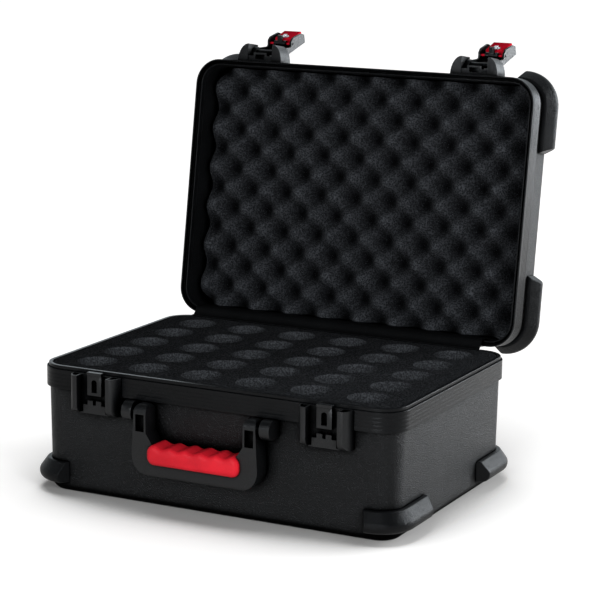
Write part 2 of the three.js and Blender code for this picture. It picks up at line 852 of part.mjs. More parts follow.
function frameSolid() {
  const foot = handleCorner - handleDrop;
  const bend = armFoot - handleCorner;
  const left = arc(-bend, foot, handleCorner, handleCorner, 2 * quarter, quarter, bendSteps);
  const right = arc(bend, foot, handleCorner, handleCorner, -quarter, quarter, bendSteps);
  const barTop = gripLow + seatGap;
  const domeAt = armRadius - armDome;
  const dome = (x, start) => arc(x, domeAt, armDome, armDome, start, quarter, bendSteps);
  const outline = [
    ...left,
    ...right,
    ...dome(armOuter - armDome, 0),
    ...dome(armInner + armDome, quarter),
    ...points2([
      [armInner, -elbowHigh],
      [elbowInner, -elbowLow],
      [elbowInner, -barTop],
      [-elbowInner, -barTop],
      [-elbowInner, -elbowLow],
      [-armInner, -elbowHigh],
    ]),
    ...dome(-armInner - armDome, 0),
    ...dome(armDome - armOuter, quarter),
  ];
  const middle = -handleSag;
  const depth = [middle - armRadius, middle + armRadius];
  const barEnd = (y, start) => arc(y, barRound - handleDrop, barRound, barRound, start, quarter, barRoundSteps);
  const fromSide = [
    ...arc(middle, 0, armRadius, armRadius, 0, 2 * quarter, 2 * bendSteps),
    ...barEnd(depth[0] + barRound, 2 * quarter),
    ...barEnd(depth[1] - barRound, -quarter),
  ];
  const profile = alongX(fromSide, -armFoot - overrun, armFoot + overrun);
  const body = alongY(outline, ...depth, 0, []).intersect(profile);
  const roomDepth = [depth[0] - overrun, depth[1] + overrun];
  const room = alongY(gripOutline(seatGap), ...roomDepth, 0, []);
  const coreSpan = [middle - coreDepth, middle + coreDepth];
  const core = block([-coreHalf, coreHalf], coreSpan, [-barTop - overrun, -coreHigh]);
  const cuts = [-1, 1].flatMap((side) => {
    const across = between(side * (armOuter - armPinDepth - runGap), side * (armOuter + overrun));
    const centre = (side * (armInner + armOuter)) / 2;
    const pocket = block(
      [centre - pocketHalf, centre + pocketHalf],
      [depth[0] - overrun, depth[0] + pocketDepth],
      [-pocketLow, -pocketHigh],
    );
    return [solidOf(rod(handlePinRadius + runGap, across, [0, 0], "x", pinSides)), pocket];
  });
  return joined(cut(body, room, ...cuts), core);
}

// The grip's outline from the front, drawn larger by a clearance if wanted.
function gripOutline(grow) {
  const span = gripHalf - gripCorner;
  const radius = gripCorner + grow;
  const rise = gripCorner - gripLow;
  const shoulderAt = gripPeak - gripHigh - gripCorner;
  const corner = (x, z, start) => arc(x, z, radius, radius, start, quarter, gripCornerSteps);
  const top = [];
  const samples = gripWaves * gripWaveSteps;
  for (let sample = 1; sample < samples; sample += 1) {
    const along = sample / samples;
    const scallop = gripWave * Math.cos(2 * Math.PI * gripWaves * along);
    const shoulder = (gripPeak - gripWave) * (2 * along - 1) ** gripShoulder;
    top.push(new THREE.Vector2(span * (1 - 2 * along), shoulder + scallop + grow - gripHigh));
  }
  return [
    ...corner(span, rise, -quarter),
    ...corner(span, shoulderAt, 0),
    ...top,
    ...corner(-span, shoulderAt, quarter),
    ...corner(-span, rise, 2 * quarter),
  ];
}

function gripSolid() {
  const middle = -handleSag;
  const outline = gripOutline(0);
  const front = alongY(outline, middle - gripFront, middle + gripLap, gripFrontRound, []);
  const back = alongY(outline, middle - gripLap, middle + gripBack, gripBackRound, []);
  const slotDepth = coreDepth + seatGap;
  const slotHalf = coreHalf + seatGap;
  const slot = block(
    [-slotHalf, slotHalf],
    [middle - slotDepth, middle + slotDepth],
    [-gripLow - overrun, seatGap - coreHigh],
  );
  return cut(joined(front, back), slot);
}

function bracketSolid(side) {
  const near = armOuter + bossGap;
  const across = between(side * near, side * (near + bossWidth));
  const underBand = baseShell.height - baseSkirtLap - seatGap - handlePivotZ;
  const seat = handlePivotOut + shellStep;
  const boss = solidOf(rod(bossRadius, across, [0, 0], "x", bossSides));
  const foot = block(across, [0, seat], [bracketLow - handlePivotZ, underBand]);
  const bore = between(side * (near - overrun), side * (near + bracketPinDepth + runGap));
  return cut(joined(boss, foot), solidOf(rod(handlePinRadius + runGap, bore, [0, 0], "x", pinSides)));
}

function handlePinSolid(side) {
  const span = between(side * (armOuter - armPinDepth), side * (armOuter + bossGap + bracketPinDepth));
  return solidOf(rod(handlePinRadius, span, [0, 0], "x", pinSides));
}

// The assembly

const microphoneCase = new THREE.Group();

function holder(parent, x, y, z, turnDegrees = 0) {
  const group = new THREE.Group();
  group.position.set(x, y, z);
  group.rotation.x = THREE.MathUtils.degToRad(turnDegrees);
  parent.add(group);
  return group;
}

function place(parent, name, solid, material, reshape = (geometry) => geometry) {
  const mesh = new THREE.Mesh(reshape(geometryOf(solid)), material);
  mesh.name = name;
  parent.add(mesh);
}

// The lid turns about the hinge line; its moulded pieces are drawn floor down and turned over.
const lid = holder(holder(microphoneCase, 0, hingeY, hingeZ, -lidOpenAngle), 0, -hingeY, -hingeZ);
const lidMoulding = holder(lid, 0, 0, lidTop, 180);

place(microphoneCase, "base_shell", shellSolid(baseShell), textured);
const baseValance = valanceSolid(baseShell, baseSkirtLap, baseBandHead, tongueMouth);
place(microphoneCase, "base_valance", baseValance, smoothBlack);
place(microphoneCase, "base_pad_foam", padSolid(), cutFoam);
place(microphoneCase, "microphone_foam", trayFoamSolid(), cutFoam);

place(lidMoulding, "lid_shell", shellSolid(lidShell), textured);
const lidValance = valanceSolid(lidShell, lidSkirtLap, lidBandHead, rebateMouth);
place(lidMoulding, "lid_valance", lidValance, smoothBlack);
place(lidMoulding, "lid_foam", waveFoamSolid(), waveFoam);

for (const [side, signX] of [["left", -1], ["right", 1]]) {
  for (const [end, signY] of [["front", -1], ["rear", 1]]) {
    place(microphoneCase, `base_bumper_${end}_${side}`, bumperSolid(baseShell, signX, signY), textured);
    place(lidMoulding, `lid_bumper_${end}_${side}`, bumperSolid(lidShell, signX, -signY), textured);
  }
}

place(microphoneCase, "hinge_base_leaf", leafSolid(-1), steel);
place(lid, "hinge_lid_leaf", leafSolid(1), steel);
place(holder(microphoneCase, 0, hingeY, hingeZ), "hinge_pin", pinSolid(hingePinRadius, hingeHalf), steel);
place(microphoneCase, "hinge_flap", flapSolid(), strap);

for (const [side, signX] of [["left", -1], ["right", 1]]) {
  const keeper = holder(microphoneCase, signX * latchX, -bandHalfY, 0);
  place(keeper, `latch_keeper_${side}`, keeperSolid(), nylon);
  place(keeper, `keeper_post_${side}`, postSolid(), nylon);

  const latch = holder(lid, signX * latchX, -bandHalfY, hingeZ);
  place(latch, `latch_housing_${side}`, housingSolid(), nylon);
  const pivot = holder(latch, 0, -pivotOut, pivotUp);
  place(pivot, `lever_pin_${side}`, pinSolid(leverPinRadius, leverPinHalf - runGap), steel);
  const lever = holder(pivot, 0, 0, 0, -leverOpenAngle);
  place(lever, `latch_lever_${side}`, leverSolid(), nylon, flared);
  place(lever, `lock_housing_${side}`, lockSolid(), redPlastic);
  place(lever, `lock_barrel_${side}`, barrelSolid(), steel);
  const clawPivot = holder(lever, 0, -clawPinOut, -clawAt);
  place(clawPivot, `claw_pin_${side}`, pinSolid(clawPinRadius, leverHalf - seatGap), redPlastic);
  place(holder(clawPivot, 0, 0, 0, -clawRestAngle), `latch_claw_${side}`, clawSolid(), nylon);
}

const handle = holder(microphoneCase, handleX, -bandHalfY - handlePivotOut, handlePivotZ);
place(handle, "handle_frame", frameSolid(), nylon);
place(handle, "handle_grip", gripSolid(), redRubber);
for (const [side, signX] of [["left", -1], ["right", 1]]) {
  place(handle, `handle_bracket_${side}`, bracketSolid(signX), nylon);
  place(handle, `handle_pin_${side}`, handlePinSolid(signX), steel);
}

export default microphoneCase;
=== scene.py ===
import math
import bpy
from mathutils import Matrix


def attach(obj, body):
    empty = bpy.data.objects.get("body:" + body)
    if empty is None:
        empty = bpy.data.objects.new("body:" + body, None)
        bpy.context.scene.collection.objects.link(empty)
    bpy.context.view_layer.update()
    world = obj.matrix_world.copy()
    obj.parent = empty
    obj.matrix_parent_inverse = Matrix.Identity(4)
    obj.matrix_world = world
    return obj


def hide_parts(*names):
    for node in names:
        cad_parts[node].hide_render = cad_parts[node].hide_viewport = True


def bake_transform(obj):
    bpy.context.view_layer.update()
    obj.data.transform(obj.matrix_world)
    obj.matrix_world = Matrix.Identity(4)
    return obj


bl_info = {
    "name": "Microphone case",
    "version": (1, 0, 0),
    "blender": (4, 5, 0),
    "location": "View3D > Sidebar > Case",
    "description": "Dresses the frame of a moulded microphone case with its fine pieces and finishes",
    "category": "Mesh",
}

import bmesh
import bpy
from mathutils import Matrix, Vector

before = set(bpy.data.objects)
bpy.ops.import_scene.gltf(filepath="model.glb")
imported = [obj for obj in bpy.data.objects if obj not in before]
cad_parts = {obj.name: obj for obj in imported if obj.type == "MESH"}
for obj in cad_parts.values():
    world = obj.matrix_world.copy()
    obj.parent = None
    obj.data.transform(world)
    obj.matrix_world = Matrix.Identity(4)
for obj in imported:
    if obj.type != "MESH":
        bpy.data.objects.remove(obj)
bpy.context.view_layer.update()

QUARTER = math.pi / 2
SIDES = {"left": -1, "right": 1}
ENDS = {"front": -1, "rear": 1}
UPRIGHT = Matrix.Identity(4)
SEAT = 0.0003  # gap between two mouldings where one seats on the other
MERGED = 1e-6  # points nearer than this are one
PIN_ROUNDING = 0.0002


# Properties

def length(name, default, description):
    return bpy.props.FloatProperty(
        name=name, default=default, description=description,
        min=0, precision=4, subtype="DISTANCE", unit="LENGTH")


def turn(name, default, description):
    return bpy.props.FloatProperty(
        name=name, default=math.radians(default), description=description,
        subtype="ANGLE", unit="ROTATION")


def colour(name, default, description):
    return bpy.props.FloatVectorProperty(
        name=name, default=default, description=description,
        size=3, min=0, max=1, subtype="COLOR")


class MouldingSizes(bpy.types.PropertyGroup):
    length: length("Length", 0.486, "Length of both shells at the rim")
    width: length("Width", 0.340, "Width of both shells at the rim")
    corner: length("Corner", 0.0303, "Radius of the upright corners at the rim")
    wall: length("Wall", 0.0036, "Thickness of the moulded wall")
    base_height: length("Base height", 0.150, "Height of the base shell")
    base_draft: length("Base draft", 0.0025, "How far the base shell narrows down to its floor")
    base_edge: length("Base edge", 0.012, "Rounding between the base's walls and floor")
    lid_height: length("Lid height", 0.0687, "Height of the lid shell")
    lid_draft: length("Lid draft", 0.0015, "How far the lid shell narrows up to its top")
    lid_edge: length("Lid edge", 0.016, "Rounding between the lid's walls and top")
    band: length("Band", 0.0037, "How far the band stands outside the shell")
    lid_top: length("Lid top", 0.240, "Height of the lid's top when it is shut")
    bumper_reach: length("Bumper reach", 0.0157, "How far each corner bumper stands out")
    bumper_low: length("Bumper low", 0.014, "Height of each bumper's lower edge over the shell's floor")
    bumper_high: length("Bumper high", 0.040, "Height of each bumper's upper edge over the shell's floor")


class FoamSizes(bpy.types.PropertyGroup):
    bore: length("Drop radius", 0.025, "Radius of the round drops")
    pitch_x: length("Drop pitch across", 0.075, "Distance between drops along the case")
    pitch_y: length("Drop pitch in depth", 0.063, "Distance between drops across the case")
    low: length("Tray low", 0.0162, "Underside of the foam tray")
    top: length("Tray top", 0.1621, "Top of the foam tray")
    wave_x: length("Wave pitch across", 0.0525, "Pitch of the lid foam's waves along the case")
    wave_y: length("Wave pitch in depth", 0.054, "Pitch of the lid foam's waves across the case")
    wave_shift: length("Wave shift", 0.0073, "How far a crest lies right of the lid's middle")
    valley: length("Valley", 0.019, "Thickness of the lid foam at its hollows")
    peak: length("Peak", 0.044, "Thickness of the lid foam at its crests")


class FittingSizes(bpy.types.PropertyGroup):
    hinge_y: length("Hinge back", 0.1787, "Distance of the hinge line behind the middle")
    hinge_z: length("Hinge height", 0.160, "Height of the hinge line")
    lid_open: turn("Lid open", 98.8, "Turn of the open lid about the hinge")
    rounding: length("Rounding", 0.0007, "Rounding of the small fittings' edges")
    handle_rounding: length("Handle rounding", 0.0014, "Rounding of the handle frame's edges")


class CaseColours(bpy.types.PropertyGroup):
    shell: colour("Shells", (0.0046, 0.0048, 0.0052), "Grained plastic of the shells and bumpers")
    band: colour("Bands", (0.0040, 0.0042, 0.0046), "Smooth plastic of the valances")
    tray: colour("Tray foam", (0.031, 0.0320, 0.0340), "Cut foam of the tray")
    waves: colour("Lid foam", (0.053, 0.0550, 0.0595), "Wavy foam of the lid")
    fittings: colour("Fittings", (0.0060, 0.0063, 0.0068), "Plastic of latches and handle")
    grip: colour("Grip", (0.80, 0.014, 0.028), "Rubber of the handle's grip")
    locks: colour("Locks", (0.72, 0.010, 0.028), "Red plastic of the lock housings and claw pins")
    steel: colour("Steel", (0.62, 0.63, 0.64), "Plated steel of the hinge, pins and lock barrels")
    strip: colour("Strip", (0.0030, 0.0031, 0.0033), "Vinyl of the strip inside the hinge")
    floor: colour("Floor", (0.62, 0.59, 0.56), "Studio floor")


# Places of the lid's pieces

def shifted(x, y, z):
    return Matrix.Translation((x, y, z))


def tilted(angle):
    return Matrix.Rotation(angle, 4, "X")


def lid_frame():
    """The open lid's turn, for what is drawn on the shut case."""
    fittings = bpy.context.scene.case_fittings
    hinge = shifted(0, fittings.hinge_y, fittings.hinge_z)
    return hinge @ tilted(-fittings.lid_open) @ hinge.inverted()


def lid_moulding_frame():
    """The same turn, for what is drawn with the lid lying on its top."""
    return lid_frame() @ shifted(0, 0, bpy.context.scene.case_moulding.lid_top) @ tilted(math.pi)


# Mesh helpers

def points_of(geometry):
    return [item for item in geometry if isinstance(item, bmesh.types.BMVert)]


def edges_of(geometry):
    return [item for item in geometry if isinstance(item, bmesh.types.BMEdge)]


def chain(bm, points, looped):
    """New points with an edge from each to the next."""
    verts = [bm.verts.new(point) for point in points]
    pairs = list(zip(verts, verts[1:]))
    if looped:
        pairs.append((verts[-1], verts[0]))
    return verts + [bm.edges.new(pair) for pair in pairs]


def pulled(bm, geometry, move):
    """Extrudes a chain by a move and gives the new chain."""
    drawn = bmesh.ops.extrude_edge_only(bm, edges=edges_of(geometry))["geom"]
    verts = points_of(drawn)
    bmesh.ops.translate(bm, verts=verts, vec=move)
    ends = set(verts)
    return verts + [edge for edge in edges_of(drawn) if set(edge.verts) <= ends]


def spun(bm, geometry, centre, angle, steps):
    """Turns a chain about an upright line and gives the last chain."""
    return bmesh.ops.spin(
        bm, geom=geometry, cent=centre, axis=(0, 0, 1), dvec=(0, 0, 0), angle=angle, steps=steps,
        use_merge=False, use_normal_flip=False, use_duplicate=False)["geom_last"]


def carried_round(section, looped, steps):
    """A section of (outwards, up) points carried once round the rim line that both shells share."""
    moulding = bpy.context.scene.case_moulding
    half_x, half_y = moulding.length / 2, moulding.width / 2
    run_x, run_y = half_x - moulding.corner, half_y - moulding.corner
    bm = bmesh.new()
    last = chain(bm, [(half_x + out, -run_y, up) for out, up in section], looped)
    corners = ((1, 1), (-1, 1), (-1, -1), (1, -1))
    moves = ((0, 2 * run_y, 0), (-2 * run_x, 0, 0), (0, -2 * run_y, 0), (2 * run_x, 0, 0))
    for (sign_x, sign_y), move in zip(corners, moves):
        last = pulled(bm, last, move)
        last = spun(bm, last, (sign_x * run_x, sign_y * run_y, 0), QUARTER, steps)
    bmesh.ops.remove_doubles(bm, verts=bm.verts, dist=MERGED)
    return bm


def rim_edges(bm, level):
    """The open edges that lie at a level."""
    return [
        edge for edge in bm.edges
        if edge.is_boundary and all(abs(vert.co.z - level) < MERGED for vert in edge.verts)]


def cleaned_copy(node):
    """A copy of a node's mesh with its points merged and its flat areas joined."""
    bm = bmesh.new()
    bm.from_mesh(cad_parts[node].data)
    bmesh.ops.remove_doubles(bm, verts=bm.verts, dist=MERGED)
    bmesh.ops.dissolve_limit(bm, angle_limit=math.radians(1), verts=bm.verts, edges=bm.edges)
    return bm


def shown(name, bm, material, body, nodes=(), rounding=0, segments=2, crease=35, outwards=True):
    """Makes a finished piece of a mesh, with its finish, its body and the nodes that it stands for."""
    if outwards:
        bmesh.ops.recalc_face_normals(bm, faces=bm.faces)
    for face in bm.faces:
        face.smooth = True
    mesh = bpy.data.meshes.new(name)
    bm.to_mesh(mesh)
    bm.free()
    mesh.set_sharp_from_angle(angle=math.radians(crease))
    mesh.materials.append(material)
    piece = bpy.data.objects.new(name, mesh)
    bpy.context.scene.collection.objects.link(piece)
    if rounding:
        bevel = piece.modifiers.new("Rounding", "BEVEL")
        bevel.width = rounding
        bevel.segments = segments
        bevel.limit_method = "ANGLE"
        bevel.angle_limit = math.radians(crease)
        bevel.harden_normals = True
    if nodes:
        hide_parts(*nodes)
    if body:
        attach(piece, body)
    return piece


def refined(node, material, body, rounding, segments=2):
    """A node's own shape as a finished piece, with its edges rounded."""
    name = f"{node.capitalize()}_fine"
    return shown(
        name, cleaned_copy(node), material, body, [node], rounding=rounding, segments=segments)


# Finishes

class Wiring:
    """Short ways to add and join nodes in one tree."""

    def __init__(self, tree):
        self.tree = tree

    def feed(self, socket, value):
        """Links a socket to another one, or sets its value."""
        if isinstance(value, bpy.types.NodeSocket):
            self.tree.links.new(value, socket)
        else:
            socket.default_value = value

    def join(self, node, values):
        """Feeds a node's inputs by their names or numbers."""
        for socket, value in values.items():
            self.feed(node.inputs[socket], value)

    def add(self, kind, values=None, **options):
        """A new node with its options and inputs."""
        node = self.tree.nodes.new(kind)
        for option, value in options.items():
            setattr(node, option, value)
        self.join(node, values or {})
        return node

    def maths(self, operation, first, second=0.0, third=0.0):
        node = self.add("ShaderNodeMath", {0: first, 1: second, 2: third}, operation=operation)
        return node.outputs["Value"]

    def spread(self, value, low, high, to_low=0.0, to_high=1.0):
        """A value's place between low and high, carried over to another range and held inside it."""
        node = self.add("ShaderNodeMapRange", {
            "Value": value, "From Min": low, "From Max": high, "To Min": to_low, "To Max": to_high})
        return node.outputs["Result"]

    def mix(self, share, first, second):
        """The first colour at share 0 and the second at 1."""
        node = self.add("ShaderNodeMix", data_type="RGBA")
        sockets = {socket.identifier: socket for socket in node.inputs}
        for identifier, value in (("Factor_Float", share), ("A_Color", first), ("B_Color", second)):
            self.feed(sockets[identifier], value)
        return next(socket for socket in node.outputs if socket.identifier == "Result_Color")

    def axes(self, coordinates):
        """The X, Y and Z of one kind of coordinates."""
        place = self.add("ShaderNodeTexCoord").outputs[coordinates]
        return self.add("ShaderNodeSeparateXYZ", {0: place}).outputs

    def bump(self, height, distance, strength=1.0):
        node = self.add("ShaderNodeBump", {"Strength": strength, "Distance": distance, "Height": height})
        return node.outputs["Normal"]

    def effect(self, name, maker, values=None):
        """Places a shared effect, which is built the first time that it is asked for."""
        tree = bpy.data.node_groups.get(name) or maker()
        return self.add("ShaderNodeGroup", values, node_tree=tree)


def new_effect(name, size, default, outputs):
    """A node group with one size: its wiring, its outlet and the inputs of a pattern of that size."""
    group = bpy.data.node_groups.new(name, "ShaderNodeTree")
    made = group.interface.new_socket(name=size, in_out="INPUT", socket_type="NodeSocketFloat")
    made.default_value = default
    for socket in outputs:
        group.interface.new_socket(name=socket, in_out="OUTPUT", socket_type="NodeSocketFloat")
    wiring = Wiring(group)
    inlet = wiring.add("NodeGroupInput")
    outlet = wiring.add("NodeGroupOutput")
    place = wiring.add("ShaderNodeTexCoord").outputs["Object"]
    return wiring, outlet, {"Vector": place, "Scale": wiring.maths("DIVIDE", 1.0, inlet.outputs[size])}


def leather_grain():
    """Pebbled mould grain: raised cells parted by fine creases."""
    wiring, outlet, pattern = new_effect("Leather grain", "Cell", 0.0016, ["Height", "Crease"])
    wobble = wiring.add("ShaderNodeTexNoise", {**pattern, "Detail": 2.0})
    cells = wiring.add("ShaderNodeTexVoronoi", pattern, feature="DISTANCE_TO_EDGE")
    raised = wiring.spread(cells.outputs["Distance"], 0.02, 0.28)
    height = wiring.maths("MULTIPLY_ADD", wobble.outputs["Fac"], 0.35, raised)
    wiring.join(outlet, {"Height": height, "Crease": wiring.maths("SUBTRACT", 1.0, raised)})
    return wiring.tree


def open_cells():
    """Open-cell foam: pores of uneven size with bright struts between."""
    wiring, outlet, pattern = new_effect("Open cells", "Pore", 0.0012, ["Height", "Strut"])
    pores = wiring.add("ShaderNodeTexVoronoi", pattern)
    rough = wiring.add("ShaderNodeTexNoise", {**pattern, "Detail": 3.0, "Roughness": 0.7})
    wall = wiring.spread(pores.outputs["Distance"], 0.1, 0.75)
    height = wiring.maths("MULTIPLY_ADD", rough.outputs["Fac"], 0.6, wall)
    strut = wiring.spread(wiring.maths("MULTIPLY", wall, rough.outputs["Fac"]), 0.12, 0.55)
    wiring.join(outlet, {"Height": height, "Strut": strut})
    return wiring.tree


def handling():
    """Marks of handling: faint smudges, and a few fine specks of dust."""
    wiring, outlet, pattern = new_effect("Handling", "Patch", 0.06, ["Smudge", "Dust"])
    broad = wiring.add("ShaderNodeTexNoise", {**pattern, "Detail": 4.0, "Roughness": 0.6})
    fine = wiring.add("ShaderNodeTexNoise", {"Vector": pattern["Vector"], "Scale": 1300.0, "Detail": 1.0})
    smudge = wiring.spread(broad.outputs["Fac"], 0.42, 0.68)
    dust = wiring.spread(fine.outputs["Fac"], 0.71, 0.78)
    wiring.join(outlet, {"Smudge": smudge, "Dust": dust})
    return wiring.tree


def finish(name, base, roughness, specular=0.5, metallic=0.0):
    """A new material with its shader, and the wiring for what varies over the surface."""
    material = bpy.data.materials.new(name)
    material.use_nodes = True
    material.diffuse_color = (*base, 1)
    shader = material.node_tree.nodes["Principled BSDF"]
    wiring = Wiring(material.node_tree)
    wiring.join(shader, {
        "Base Color": (*base, 1), "Roughness": roughness, "Metallic": metallic,
        "Specular IOR Level": specular})
    return material, shader, wiring


def lightened(base, share):
    return (*(value * share for value in base), 1)


def moulded(name, base, roughness, cell, depth, specular, cavity=0.0):
    """Moulded plastic with its mould grain, smudges and dust, and painted shade that darkens its colour and
    shine in hollows and beside other parts, out to the given reach.
    """
    material, shader, wiring = finish(name, base, roughness, specular)
    grain = wiring.effect("Leather grain", leather_grain, {"Cell": cell})
    marks = wiring.effect("Handling", handling)
    worn = wiring.mix(marks.outputs["Smudge"], (*base, 1), lightened(base, 1.35))
    surface_colour = wiring.mix(wiring.maths("MULTIPLY", marks.outputs["Dust"], 0.25), worn, (0.20, 0.20, 0.21, 1))
    # painted shade: an occlusion node turns the colour black and takes away the shine where other surfaces
    # are near
    if cavity:
        near = wiring.add("ShaderNodeAmbientOcclusion", {"Distance": cavity}, samples=8)
        unshaded_share = wiring.spread(near.outputs["AO"], 0.50, 0.92, 0.02, 1.0)
        surface_colour = wiring.mix(unshaded_share, (0, 0, 0, 1), surface_colour)
        wiring.join(shader, {"Specular IOR Level": wiring.maths("MULTIPLY", unshaded_share, specular)})
    smudged = wiring.maths("MULTIPLY_ADD", marks.outputs["Smudge"], 0.04, roughness)
    creased = wiring.maths("MULTIPLY_ADD", grain.outputs["Crease"], 0.10, smudged)
    wiring.join(shader, {
        "Base Color": surface_colour, "Roughness": creased, "Normal": wiring.bump(grain.outputs["Height"], depth)})
    return material


def foam(name, base, pore, depth, dust):
    """Open-cell foam, dark in its pores and lighter on its struts, with painted shade in the lid foam's
    hollows, and cut walls that are lighter partly by their own tone and partly by painted light.
    """
    material, shader, wiring = finish(name, base, 1.0, specular=0.0)
    cells = wiring.effect("Open cells", open_cells, {"Pore": pore})
    marks = wiring.effect("Handling", handling, {"Patch": 0.03})
    patchy = wiring.mix(marks.outputs["Smudge"], lightened(base, 1.3), lightened(base, 1.6))
    surface = wiring.mix(cells.outputs["Strut"], lightened(base, 0.35), patchy)
    hollow = wiring.add("ShaderNodeAttribute", attribute_name="Hollow").outputs["Fac"]
    # painted shade: the lid foam darkens towards black with the depth of its hollows
    surface = wiring.mix(hollow, surface, lightened(base, 0.06))
    cut = wiring.add("ShaderNodeAttribute", attribute_name="Cut").outputs["Fac"]
    # the cut walls are lighter: partly the cut cells' own tone, partly painted light standing in for the
    # light that falls on the drops' walls
    cut_and_lit = wiring.mix(cells.outputs["Strut"], lightened(base, 0.9), lightened(base, 2.6))
    surface = wiring.mix(cut, surface, cut_and_lit)
    specks = wiring.maths("MULTIPLY", marks.outputs["Dust"], 0.5)
    wiring.join(shader, {
        "Base Color": wiring.mix(specks, surface, lightened(base, dust)),
        "Normal": wiring.bump(cells.outputs["Height"], depth)})
    return material


def plated(name, base, roughness):
    """Plated steel with fine drawing lines and fingerprints."""
    material, shader, wiring = finish(name, base, roughness, metallic=1.0)
    marks = wiring.effect("Handling", handling, {"Patch": 0.012})
    place = wiring.add("ShaderNodeTexCoord").outputs["Object"]
    drawn = wiring.add("ShaderNodeMapping", {"Vector": place, "Scale": (40.0, 2500.0, 2500.0)})
    lines = wiring.add(
        "ShaderNodeTexNoise", {"Vector": drawn.outputs["Vector"], "Scale": 1.0, "Detail": 2.0})
    lined = wiring.maths("MULTIPLY_ADD", lines.outputs["Fac"], 0.16, roughness - 0.06)
    smudged = wiring.maths("MULTIPLY_ADD", marks.outputs["Smudge"], 0.10, lined)
    dulled = wiring.mix(marks.outputs["Smudge"], (*base, 1), lightened(base, 0.8))
    wiring.join(shader, {
        "Base Color": dulled, "Roughness": smudged,
        "Normal": wiring.bump(lines.outputs["Fac"], 0.00002, strength=0.4)})
    return material


def made_once(name, maker, tone, **values):
    """A finish in one of the case's colours, which is made the first time that it is asked for."""
    base = getattr(bpy.context.scene.case_colours, tone)
    return bpy.data.materials.get(name) or maker(name, base, **values)


def shell_plastic():
    # the shell's painted shade reaches far, darkening it behind the handle and beside the fittings and
    # bumpers
    return made_once("Grained plastic", moulded, "shell",
                     roughness=0.34, cell=0.0020, depth=0.00031, specular=0.28, cavity=0.022)


def bumper_plastic():
    return made_once("Bumper plastic", moulded, "shell",
                     roughness=0.27, cell=0.0016, depth=0.00015, specular=0.16)


def band_plastic():
    return made_once("Band plastic", moulded, "band",
                     roughness=0.22, cell=0.0009, depth=0.00003, specular=0.20, cavity=0.002)


def rim_plastic():
    # as the band plastic, but its painted shade reaches further, to darken the channel in the lid's rebate
    return made_once("Rim plastic", moulded, "band",
                     roughness=0.22, cell=0.0009, depth=0.00003, specular=0.20, cavity=0.008)


def fitting_plastic():
    return made_once("Fitting plastic", moulded, "fittings",
                     roughness=0.26, cell=0.0008, depth=0.00004, specular=0.50, cavity=0.028)


def tray_foam():
    return made_once("Tray foam", foam, "tray", pore=0.0020, depth=0.0010, dust=9)


def wave_foam():
    return made_once("Lid foam", foam, "waves", pore=0.0022, depth=0.0011, dust=7)


def grip_rubber():
    return made_once("Grip rubber", moulded, "grip",
                     roughness=0.42, cell=0.0006, depth=0.00003, specular=0.30, cavity=0.006)


def lock_plastic():
    return made_once("Lock plastic", moulded, "locks",
                     roughness=0.25, cell=0.0009, depth=0.00001, specular=0.0, cavity=0.003)


def steel():
    return made_once("Plated steel", plated, "steel", roughness=0.24)


def strip_vinyl():
    return made_once("Strip vinyl", moulded, "strip",
                     roughness=0.55, cell=0.0011, depth=0.00006, specular=0.10)


# Operators

